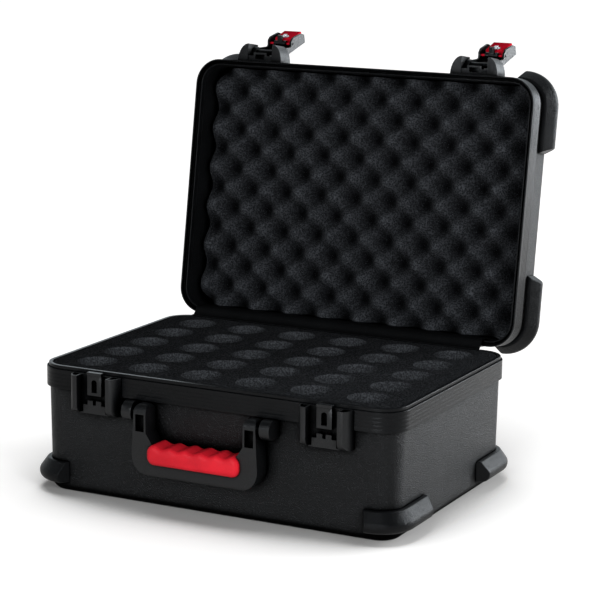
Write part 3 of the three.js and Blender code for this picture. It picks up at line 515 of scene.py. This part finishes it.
class CASE_OT_stage(bpy.types.Operator):
    """Camera at the photograph's view, pale floor, lamps and world"""
    bl_idname = "case.stage"
    bl_label = "Stage"

    eye = (1.2570, -2.4138, 0.8035)
    lens = 132.94
    yaw, pitch, roll = (math.radians(angle) for angle in (26.92, -11.68, 0.65))
    white = (1, 1, 1, 1)
    mirrored_tint = (0.87, 0.95, 1, 1)
    lamp_tint = (0.90, 0.95, 1.0)
    # name, place, target, size, power, and whether it shows in shiny surfaces
    lamps = (
        ("Key", (0.3, -3.2, 0.8), (0, 0, 0.25), 1.0, 34, True),
        ("Upper", (-0.6, -2.8, 1.8), (0, 0, 0.1), 0.15, 8, True),
        ("Side", (2.2, 2.6, 0.9), (0.2, 0.1, 0.25), 1.6, 100, True),
        ("Right", (2.3, -1.8, 1.1), (0, 0.1, 0.3), 0.7, 36, False),
    )
    floor_half = 12
    floor_gap = 0.0002  # from the floor up to the case's underside

    def execute(self, context):
        context.scene.view_settings.view_transform = "Standard"
        self.camera(context)
        self.floor(context)
        self.world(context)
        for lamp in self.lamps:
            self.lamp(context, *lamp)
        return {"FINISHED"}

    def camera(self, context):
        yaw, pitch, roll = self.yaw, self.pitch, self.roll
        ahead = Vector((-math.sin(yaw) * math.cos(pitch), math.cos(yaw) * math.cos(pitch), math.sin(pitch)))
        right = Vector((math.cos(yaw), math.sin(yaw), 0))
        above = right.cross(ahead)
        rolled = math.cos(roll) * right + math.sin(roll) * above
        risen = math.cos(roll) * above - math.sin(roll) * right
        data = bpy.data.cameras.new("Camera")
        data.sensor_width = 36
        data.lens = self.lens
        data.clip_end = 100
        camera = bpy.data.objects.new("Camera", data)
        turned = Matrix((rolled, risen, -ahead)).transposed().to_4x4()
        camera.matrix_world = shifted(*self.eye) @ turned
        context.scene.collection.objects.link(camera)
        context.scene.camera = camera

    def floor(self, context):
        """A floor that glows white outside the case's shade, and dimmer in what shiny surfaces show."""
        bm = bmesh.new()
        bmesh.ops.create_grid(bm, x_segments=1, y_segments=1, size=self.floor_half)
        material, shader, wiring = finish(
            "Studio floor", context.scene.case_colours.floor, 0.6, specular=0.0)
        near = wiring.add("ShaderNodeAmbientOcclusion", {"Distance": 0.6}, samples=16)
        place = wiring.axes("Object")

        # the shade deepens towards the case, is weaker on its right and ends behind it
        shade = wiring.spread(near.outputs["AO"], 1.0, 0.5)
        shade = wiring.maths("MULTIPLY", shade, wiring.spread(place["X"], 0.2, 0.4, 1.0, 0.75))
        strength = wiring.maths("MULTIPLY_ADD", wiring.maths("POWER", shade, 2.2), -0.86, 0.89)
        strength = wiring.maths("MAXIMUM", strength, wiring.spread(place["Y"], 0.9, 1.6, 0.0, 1.0))
        glow = wiring.add("ShaderNodeEmission", {"Color": self.white, "Strength": strength})

        # shiny surfaces show the floor's back part, and less of it on the right
        behind = wiring.spread(place["Y"], -0.2, 0.6, 0.30, 1.0)
        behind = wiring.maths("MULTIPLY", behind, wiring.spread(place["X"], 0.25, 0.5, 1.0, 0.4))
        seen = wiring.add("ShaderNodeLightPath")
        mirrored = wiring.maths("MULTIPLY", seen.outputs["Is Glossy Ray"], behind)
        share = wiring.maths("MAXIMUM", seen.outputs["Is Camera Ray"], mirrored)
        share = wiring.maths("MAXIMUM", share, seen.outputs["Is Transmission Ray"])
        dark = wiring.add("ShaderNodeEmission", {"Strength": 0.0})
        lit = wiring.add("ShaderNodeMixShader", {0: share, 1: dark.outputs[0], 2: glow.outputs[0]})
        both = wiring.add("ShaderNodeAddShader", {0: shader.outputs[0], 1: lit.outputs[0]})
        wiring.join(material.node_tree.nodes["Material Output"], {"Surface": both.outputs[0]})
        piece = shown("Floor", bm, material, None, outwards=False)
        piece.data.transform(shifted(0, 0, -self.floor_gap))

    def world(self, context):
        """White for the camera, dim as light, and bright screens behind and beside for shine."""
        world = bpy.data.worlds.new("Studio")
        context.scene.world = world
        world.use_nodes = True
        wiring = Wiring(world.node_tree)
        dim = world.node_tree.nodes["Background"]
        wiring.join(dim, {"Color": self.white, "Strength": 0.10})
        place = wiring.axes("Generated")
        back = wiring.spread(place["Y"], 0.3, 0.7, 0.02, 1.0)
        left = wiring.spread(place["X"], -0.80, -0.95, 0.0, 0.7)
        right = wiring.spread(place["X"], 0.78, 0.92, 0.0, 0.8)
        around = wiring.maths("MAXIMUM", wiring.maths("MAXIMUM", back, left), right)
        screens = wiring.add("ShaderNodeBackground", {"Color": self.mirrored_tint, "Strength": around})
        plain = wiring.add("ShaderNodeBackground", {"Color": self.white, "Strength": 1.0})
        seen = wiring.add("ShaderNodeLightPath")
        shine = wiring.add("ShaderNodeMixShader", {
            0: seen.outputs["Is Glossy Ray"], 1: dim.outputs[0], 2: screens.outputs[0]})
        straight = wiring.maths(
            "MAXIMUM", seen.outputs["Is Camera Ray"], seen.outputs["Is Transmission Ray"])
        final = wiring.add("ShaderNodeMixShader", {0: straight, 1: shine.outputs[0], 2: plain.outputs[0]})
        wiring.join(world.node_tree.nodes["World Output"], {"Surface": final.outputs[0]})

    def lamp(self, context, name, place, target, size, power, mirrored):
        data = bpy.data.lights.new(name, "AREA")
        data.size = size
        data.energy = power
        data.color = self.lamp_tint
        lamp = bpy.data.objects.new(name, data)
        lamp.location = place
        lamp.visible_glossy = mirrored
        lamp.rotation_euler = (Vector(target) - Vector(place)).to_track_quat("-Z", "Y").to_euler()
        context.scene.collection.objects.link(lamp)


class CASE_OT_shells(bpy.types.Operator):
    """Grained base and lid shells with rounded corners and floors"""
    bl_idname = "case.shells"
    bl_label = "Shells"

    rounding = 0.0008
    edge_steps = 8
    corner_steps = 14

    def execute(self, context):
        moulding = context.scene.case_moulding
        self.shell("Base_shell", moulding.base_height, moulding.base_draft, moulding.base_edge,
                   UPRIGHT, "base", "base_shell")
        self.shell("Lid_shell", moulding.lid_height, moulding.lid_draft, moulding.lid_edge,
                   lid_moulding_frame(), "lid", "lid_shell")
        return {"FINISHED"}

    def shell(self, name, height, draft, edge, placing, body, node):
        wall = bpy.context.scene.case_moulding.wall
        outer = self.side(height, draft, edge, 0)
        inner = self.side(height, draft, edge, wall)
        bm = carried_round(outer + inner[::-1], False, self.corner_steps)
        for level in (0, wall):
            bmesh.ops.contextual_create(bm, geom=rim_edges(bm, level))
        bmesh.ops.transform(bm, matrix=placing, verts=bm.verts)
        shown(name, bm, shell_plastic(), body, [node], rounding=self.rounding)

    def side(self, height, draft, edge, inset):
        """One face of the wall from the floor up to the rim, drawn in by the inset."""
        turned = edge - inset
        points = []
        for step in range(self.edge_steps + 1):
            angle = QUARTER * step / self.edge_steps
            level = inset + turned * (1 - math.cos(angle))
            drawn = draft * (1 - level / height) + inset + turned * (1 - math.sin(angle))
            points.append((-drawn, level))
        return points + [(-inset, height)]


class CASE_OT_valances(bpy.types.Operator):
    """Bands with their grooves, the base's tongue and the lid's rebate"""
    bl_idname = "case.valances"
    bl_label = "Valances"

    grooves = 4
    groove_depth = 0.00009
    groove_pitch = 0.0046
    groove_width = 0.0014
    base_lap = 0.0164  # how far each band reaches down over its shell
    lid_lap = 0.0133
    base_head = 0.0083  # how far each band stands over its shell's rim
    lid_head = 0.0127
    tongue = 0.0042  # how far the base's tongue stands up, and how deep the lid's rebate takes it
    tongue_out = 0.0013  # from the rim line out to the tongue's face
    gutter_width = 0.0013  # groove at the tongue's foot
    gutter_depth = 0.0014
    lip = 0.0018  # thickness of the lid's outer lip
    channel_width = 0.0020  # channel in the floor of the lid's rebate
    channel_depth = 0.0020
    rounding = 0.0006
    corner_steps = 14

    def execute(self, context):
        moulding = context.scene.case_moulding
        head, foot = self.base_head, self.base_head - self.gutter_depth
        gutter = self.tongue_out + self.gutter_width
        self.band(
            "Base_valance", band_plastic(), moulding.base_height, self.base_lap,
            [(moulding.band, head), (gutter, head), (gutter, foot), (self.tongue_out, foot),
             (self.tongue_out, head + self.tongue), (-moulding.wall, head + self.tongue)],
            UPRIGHT, "base", "base_valance")
        floor = self.lid_head - self.tongue
        lip = moulding.band - self.lip
        inner = self.channel_width - moulding.wall
        self.band(
            "Lid_valance", rim_plastic(), moulding.lid_height, self.lid_lap,
            [(moulding.band, self.lid_head), (lip, self.lid_head), (lip, floor - self.channel_depth),
             (inner, floor - self.channel_depth), (inner, floor), (-moulding.wall, floor)],
            lid_moulding_frame(), "lid", "lid_valance")
        return {"FINISHED"}

    def band(self, name, material, height, lap, mouth, placing, body, node):
        """A valance round its shell's rim: its grooved face, its mouth and the seat on the rim."""
        moulding = bpy.context.scene.case_moulding
        section = [
            (SEAT, -lap), (moulding.band, -lap), *self.grooved(lap, moulding.band), *mouth,
            (-moulding.wall, SEAT), (SEAT, SEAT)]
        bm = carried_round([(out, height + up) for out, up in section], True, self.corner_steps)
        bmesh.ops.transform(bm, matrix=placing, verts=bm.verts)
        shown(name, bm, material, body, [node], rounding=self.rounding, segments=3)

    def grooved(self, lap, band):
        lines = []
        for line in range(1, self.grooves + 1):
            low = line * self.groove_pitch - lap
            lines += [
                (band, low),
                (band - self.groove_depth, low + self.groove_width / 4),
                (band - self.groove_depth, low + self.groove_width * 3 / 4),
                (band, low + self.groove_width),
            ]
        return lines


class CASE_OT_bumpers(bpy.types.Operator):
    """Corner bumpers on base and lid"""
    bl_idname = "case.bumpers"
    bl_label = "Bumpers"

    # shares of a bumper's reach and of its height
    section = (
        (0, 0), (0.62, 0), (0.80, 0.05), (0.93, 0.15), (0.99, 0.27), (1, 0.38), (0.97, 0.47), (0.90, 0.55),
        (0.36, 1), (0, 1))
    long_arm = 0.041  # from the shell's end in to where the arm on its long side stops
    end_arm = 0.091  # from the shell's long side in to where the arm on its end stops
    slant = 0.55  # how far an arm's end leans, as a share of how far it stands out
    rounding = 0.0014
    corner_steps = 14

    def execute(self, context):
        moulding = context.scene.case_moulding
        for side, sign_x in SIDES.items():
            for end, sign_y in ENDS.items():
                self.bumper(
                    f"Base_bumper_{end}_{side}", moulding.base_height, moulding.base_draft,
                    (sign_x, sign_y), UPRIGHT, "base", f"base_bumper_{end}_{side}")
                self.bumper(
                    f"Lid_bumper_{end}_{side}", moulding.lid_height, moulding.lid_draft,
                    (sign_x, -sign_y), lid_moulding_frame(), "lid", f"lid_bumper_{end}_{side}")
        return {"FINISHED"}

    def bumper(self, name, height, draft, signs, placing, body, node):
        """Drawn at the corner where both signs are 1, and mirrored to its own."""
        moulding = bpy.context.scene.case_moulding
        drawn = draft * (1 - moulding.bumper_high / height) - SEAT
        half_x, half_y = moulding.length / 2 - drawn, moulding.width / 2 - drawn
        radius = moulding.corner - drawn
        run_x, run_y = half_x - radius, half_y - radius
        long_stop = moulding.length / 2 - self.long_arm
        end_stop = moulding.width / 2 - self.end_arm
        reach = moulding.bumper_reach
        rise = moulding.bumper_high - moulding.bumper_low
        bm = bmesh.new()
        points = [
            (half_x + out * reach, end_stop + self.slant * out * reach, moulding.bumper_low + up * rise)
            for out, up in self.section]
        first = chain(bm, points, True)
        last = pulled(bm, first, (0, run_y - end_stop, 0))
        for vert in points_of(last):
            vert.co.y = run_y
        last = spun(bm, last, (run_x, run_y, 0), QUARTER, self.corner_steps)
        last = pulled(bm, last, (long_stop - run_x, 0, 0))
        for vert in points_of(last):
            vert.co.x = long_stop + self.slant * (vert.co.y - half_y)
        for end in (first, last):
            bmesh.ops.contextual_create(bm, geom=edges_of(end))
        bmesh.ops.transform(bm, matrix=placing @ Matrix.Diagonal((*signs, 1, 1)), verts=bm.verts)
        shown(name, bm, bumper_plastic(), body, [node],
              rounding=self.rounding, segments=3, crease=25)


class CASE_OT_tray(bpy.types.Operator):
    """Foam tray with thirty round drops, and the pad under it"""
    bl_idname = "case.tray"
    bl_label = "Foam tray"

    columns = 6
    rows = 5
    lip = 0.0009  # slope of the foam's upper edges
    gap = 0.0005  # between the foam and the shell
    drop_sides = 48
    corner_steps = 12

    def execute(self, context):
        moulding, sizes = context.scene.case_moulding, context.scene.case_foam
        inset = moulding.wall + self.gap
        slope = moulding.base_draft / moulding.base_height
        low_out = -inset - slope * (moulding.base_height - sizes.low)
        top_out = -inset - slope * (moulding.base_height - sizes.top)
        bm = carried_round(
            [(low_out, sizes.low), (top_out, sizes.top - self.lip), (top_out - self.lip, sizes.top)],
            False, self.corner_steps)
        bm.verts.layers.float.new("Cut")
        for column in range(self.columns):
            for row in range(self.rows):
                x = (column - (self.columns - 1) / 2) * sizes.pitch_x
                y = (row - (self.rows - 1) / 2) * sizes.pitch_y
                self.drop(bm, x, y)
        for level in (sizes.top, sizes.low):
            bmesh.ops.triangle_fill(bm, use_beauty=True, use_dissolve=False, edges=rim_edges(bm, level))
        tray = shown("Foam_tray", bm, tray_foam(), "base", ["microphone_foam"], crease=30)
        pad = shown(
            "Foam_pad", cleaned_copy("base_pad_foam"), tray_foam(), "base", ["base_pad_foam"])
        return {"FINISHED"}

    def drop(self, bm, x, y):
        """One round wall through the tray, open at both ends, with its points marked as cut."""
        sizes = bpy.context.scene.case_foam
        centre = shifted(x, y, sizes.top)
        ring = bmesh.ops.create_circle(
            bm, cap_ends=False, segments=self.drop_sides, radius=sizes.bore + self.lip,
            matrix=centre)["verts"]
        verts = set(ring)
        mouth = ring + [edge for edge in bm.edges if set(edge.verts) <= verts]
        rim = pulled(bm, mouth, (0, 0, -self.lip))
        share = sizes.bore / (sizes.bore + self.lip)
        bmesh.ops.scale(bm, vec=(share, share, 1), space=centre.inverted(), verts=points_of(rim))
        foot = pulled(bm, rim, (0, 0, sizes.low - sizes.top + self.lip))
        layer = bm.verts.layers.float.get("Cut")
        for vert in points_of(rim) + points_of(foot):
            vert[layer] = 1


class CASE_OT_waves(bpy.types.Operator):
    """Convoluted foam in the lid"""
    bl_idname = "case.waves"
    bl_label = "Lid foam"

    gap = 0.0008  # between the foam and the shell
    columns = 150
    rows = 104
    breadth = 1.05  # over 1 the crests are broader than the hollows

    def execute(self, context):
        moulding, sizes = context.scene.case_moulding, context.scene.case_foam
        floor = moulding.wall + SEAT
        inset = moulding.lid_draft + moulding.wall + self.gap
        half_x, half_y = moulding.length / 2 - inset, moulding.width / 2 - inset
        radius = moulding.corner - inset
        bm = bmesh.new()
        # the hollow share sets each point's depth and also the painted shade in the foam's finish
        layer = bm.verts.layers.float.new("Hollow")
        bmesh.ops.create_grid(
            bm, x_segments=self.columns, y_segments=self.rows, size=1,
            matrix=Matrix.Diagonal((half_x, half_y, 1, 1)))
        for vert in bm.verts:
            x, y = self.pressed(vert.co.x, vert.co.y, half_x - radius, half_y - radius)
            vert[layer] = self.hollow(x, y)
            vert.co = (x, y, floor + sizes.peak + (sizes.valley - sizes.peak) * vert[layer])
        edges = [edge for edge in bm.edges if edge.is_boundary]
        last = list({vert for edge in edges for vert in edge.verts}) + edges
        last = pulled(bm, last, (0, 0, 0))
        for vert in points_of(last):
            vert.co.z = moulding.lid_edge
        last = pulled(bm, last, (0, 0, floor - moulding.lid_edge))
        edge = moulding.lid_edge - moulding.wall
        bmesh.ops.scale(bm, vec=(1 - edge / half_x, 1 - edge / half_y, 1), verts=points_of(last))
        bmesh.ops.contextual_create(bm, geom=edges_of(last))
        bmesh.ops.transform(bm, matrix=lid_moulding_frame(), verts=bm.verts)
        piece = shown("Lid_foam", bm, wave_foam(), "lid", ["lid_foam"], crease=60)
        return {"FINISHED"}

    def pressed(self, x, y, run_x, run_y):
        """A point of the square sheet pressed into the lid's rounded corners."""
        corner = Vector((max(abs(x) - run_x, 0), max(abs(y) - run_y, 0)))
        if corner.x > 0 and corner.y > 0:
            corner *= max(corner.x, corner.y) / corner.length
            x = math.copysign(run_x + corner.x, x)
            y = math.copysign(run_y + corner.y, y)
        return x, y

    def hollow(self, x, y):
        """Share by which the foam sinks from its crests to its hollows."""
        sizes = bpy.context.scene.case_foam
        across = math.cos(2 * math.pi * (x - sizes.wave_shift) / sizes.wave_x)
        wave = across * math.cos(2 * math.pi * y / sizes.wave_y)
        return ((1 - wave) / 2) ** self.breadth


class CASE_OT_hinge(bpy.types.Operator):
    """Piano hinge on the back and the strip that bridges its gap inside"""
    bl_idname = "case.hinge"
    bl_label = "Hinge"

    strip_left = -0.218
    strip_right = 0.205
    strip_panels = 24
    strip_thickness = 0.0011
    base_bends = ((0.1636, 0.1634), (0.1713, 0.1634))  # on the base's ledge, back and up
    # on the shut lid, forwards and up from the hinge line
    lid_bends = ((0.0133, -0.0027), (0.0145, 0.006), (0.0145, 0.024))
    bend_share = 0.4  # of the way to the next bend
    bend_steps = 4

    def execute(self, context):
        for node, body in (("hinge_base_leaf", "base"), ("hinge_lid_leaf", "lid"), ("hinge_pin", "base")):
            refined(node, steel(), body, PIN_ROUNDING)
        self.strip()
        return {"FINISHED"}

    def strip(self):
        fittings = bpy.context.scene.case_fittings
        bends = [Vector(bend) for bend in self.base_bends]
        for forwards, up in self.lid_bends:
            point = lid_frame() @ Vector((0, fittings.hinge_y - forwards, fittings.hinge_z + up))
            bends.append(Vector((point.y, point.z)))
        line = self.rounded(bends)
        bm = bmesh.new()
        last = chain(bm, [(self.strip_left, point.x, point.y) for point in line], False)
        for _ in range(self.strip_panels):
            last = pulled(bm, last, ((self.strip_right - self.strip_left) / self.strip_panels, 0, 0))
        piece = shown("Hinge_strip", bm, strip_vinyl(), None, ["hinge_flap"], outwards=False)
        thick = piece.modifiers.new("Thickness", "SOLIDIFY")
        thick.thickness = self.strip_thickness
        thick.offset = 0
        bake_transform(piece)

    def rounded(self, bends):
        """A line through the bends with each inner bend drawn as a short curve."""
        line = [bends[0]]
        for before, bend, after in zip(bends, bends[1:], bends[2:]):
            near, far = bend.lerp(before, self.bend_share), bend.lerp(after, self.bend_share)
            for step in range(self.bend_steps + 1):
                share = step / self.bend_steps
                line.append(near.lerp(bend, share).lerp(bend.lerp(far, share), share))
        return line + [bends[-1]]


class CASE_OT_keepers(bpy.types.Operator):
    """Keepers and their slotted posts on the base"""
    bl_idname = "case.keepers"
    bl_label = "Keepers"

    def execute(self, context):
        rounding = context.scene.case_fittings.rounding
        for side in SIDES:
            for node in ("latch_keeper", "keeper_post"):
                refined(f"{node}_{side}", fitting_plastic(), "base", rounding)
        return {"FINISHED"}


class CASE_OT_latches(bpy.types.Operator):
    """Housings, levers, locks and claws on the lid"""
    bl_idname = "case.latches"
    bl_label = "Latches"

    def execute(self, context):
        rounding = context.scene.case_fittings.rounding
        for side in SIDES:
            lever = f"lever_{side}"
            refined(f"latch_housing_{side}", fitting_plastic(), "lid", rounding)
            refined(f"lever_pin_{side}", steel(), "lid", PIN_ROUNDING)
            refined(f"latch_lever_{side}", fitting_plastic(), lever, rounding)
            refined(f"lock_housing_{side}", lock_plastic(), lever, rounding)
            refined(f"claw_pin_{side}", lock_plastic(), lever, PIN_ROUNDING)
            refined(f"lock_barrel_{side}", steel(), f"lock_{side}", PIN_ROUNDING)
            refined(f"latch_claw_{side}", fitting_plastic(), f"claw_{side}", rounding)
        return {"FINISHED"}


class CASE_OT_handle(bpy.types.Operator):
    """Handle frame, ribbed grip, brackets and pins"""
    bl_idname = "case.handle"
    bl_label = "Handle"

    def execute(self, context):
        fittings = context.scene.case_fittings
        refined(
            "handle_frame", fitting_plastic(), "handle", fittings.handle_rounding, segments=3)
        refined("handle_grip", grip_rubber(), "handle", fittings.rounding)
        for side in SIDES:
            refined(f"handle_bracket_{side}", fitting_plastic(), "base", fittings.rounding)
            refined(f"handle_pin_{side}", steel(), "base", PIN_ROUNDING)
        return {"FINISHED"}


STEPS = (
    CASE_OT_stage, CASE_OT_shells, CASE_OT_valances, CASE_OT_bumpers, CASE_OT_tray, CASE_OT_waves,
    CASE_OT_hinge, CASE_OT_keepers, CASE_OT_latches, CASE_OT_handle,
)
GROUPS = {
    "case_moulding": MouldingSizes,
    "case_foam": FoamSizes,
    "case_fittings": FittingSizes,
    "case_colours": CaseColours,
}


class CASE_PT_pieces(bpy.types.Panel):
    """Lists the sizes, the colours and the pieces of the case"""
    bl_idname = "CASE_PT_pieces"
    bl_label = "Microphone case"
    bl_space_type = "VIEW_3D"
    bl_region_type = "UI"
    bl_category = "Case"

    def draw(self, context):
        for group, kind in GROUPS.items():
            column = self.layout.column(align=True)
            for name in kind.__annotations__:
                column.prop(getattr(context.scene, group), name)
        for step in STEPS:
            self.layout.operator(step.bl_idname)


def register():
    for kind in (*GROUPS.values(), *STEPS, CASE_PT_pieces):
        bpy.utils.register_class(kind)
    for name, kind in GROUPS.items():
        setattr(bpy.types.Scene, name, bpy.props.PointerProperty(type=kind))


def unregister():
    for name in GROUPS:
        delattr(bpy.types.Scene, name)
    for kind in (CASE_PT_pieces, *reversed(STEPS), *reversed(GROUPS.values())):
        bpy.utils.unregister_class(kind)


def main():
    register()
    bpy.ops.case.stage()
    bpy.ops.case.shells()
    bpy.ops.case.valances()
    bpy.ops.case.bumpers()
    bpy.ops.case.tray()
    bpy.ops.case.waves()
    bpy.ops.case.hinge()
    bpy.ops.case.keepers()
    bpy.ops.case.latches()
    bpy.ops.case.handle()


if __name__ == "__main__":
    main()
